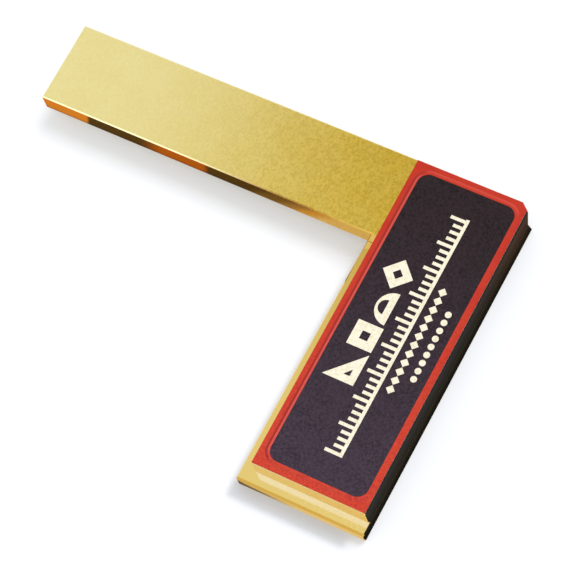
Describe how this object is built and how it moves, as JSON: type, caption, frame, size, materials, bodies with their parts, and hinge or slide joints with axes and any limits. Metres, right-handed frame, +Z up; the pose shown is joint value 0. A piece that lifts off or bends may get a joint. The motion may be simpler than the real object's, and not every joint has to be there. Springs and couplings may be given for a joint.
{
  "type": "try square",
  "caption": "Fixed try square: thick gold-coloured metal blade let into a low stock with a shouldered base, red-bordered black label on top.",
  "frame": {"origin": "centre of the stock base's underside, the face the square rests on", "axes": "+Z up, the blade points to -X, the heel of the stock is at +Y and its free end at -Y"},
  "size_m": [0.1744, 0.1236, 0.0135],
  "materials": {
    "stock_metal": "gold anodised, satin",
    "blade_metal": "gold anodised, fine satin",
    "label_red": "semi-gloss enamel",
    "label_black": "satin print",
    "adhesive": "clear film",
    "screw_steel": "zinc plated",
    "pin_steel": "ground"
  },
  "bodies": {
    "root": {"stock_base": "stock_metal", "stock_body": "stock_metal", "blade": "blade_metal", "label_adhesive": "adhesive", "label_sheet": "label_red", "label_panel": "label_black", "blade_screw_1": "screw_steel", "blade_screw_2": "screw_steel", "blade_screw_3": "screw_steel", "body_screw_1": "screw_steel", "body_screw_2": "screw_steel", "body_screw_3": "screw_steel", "body_screw_4": "screw_steel", "dowel_pin_1": "pin_steel", "dowel_pin_2": "pin_steel"}
  },
  "joints": []
}
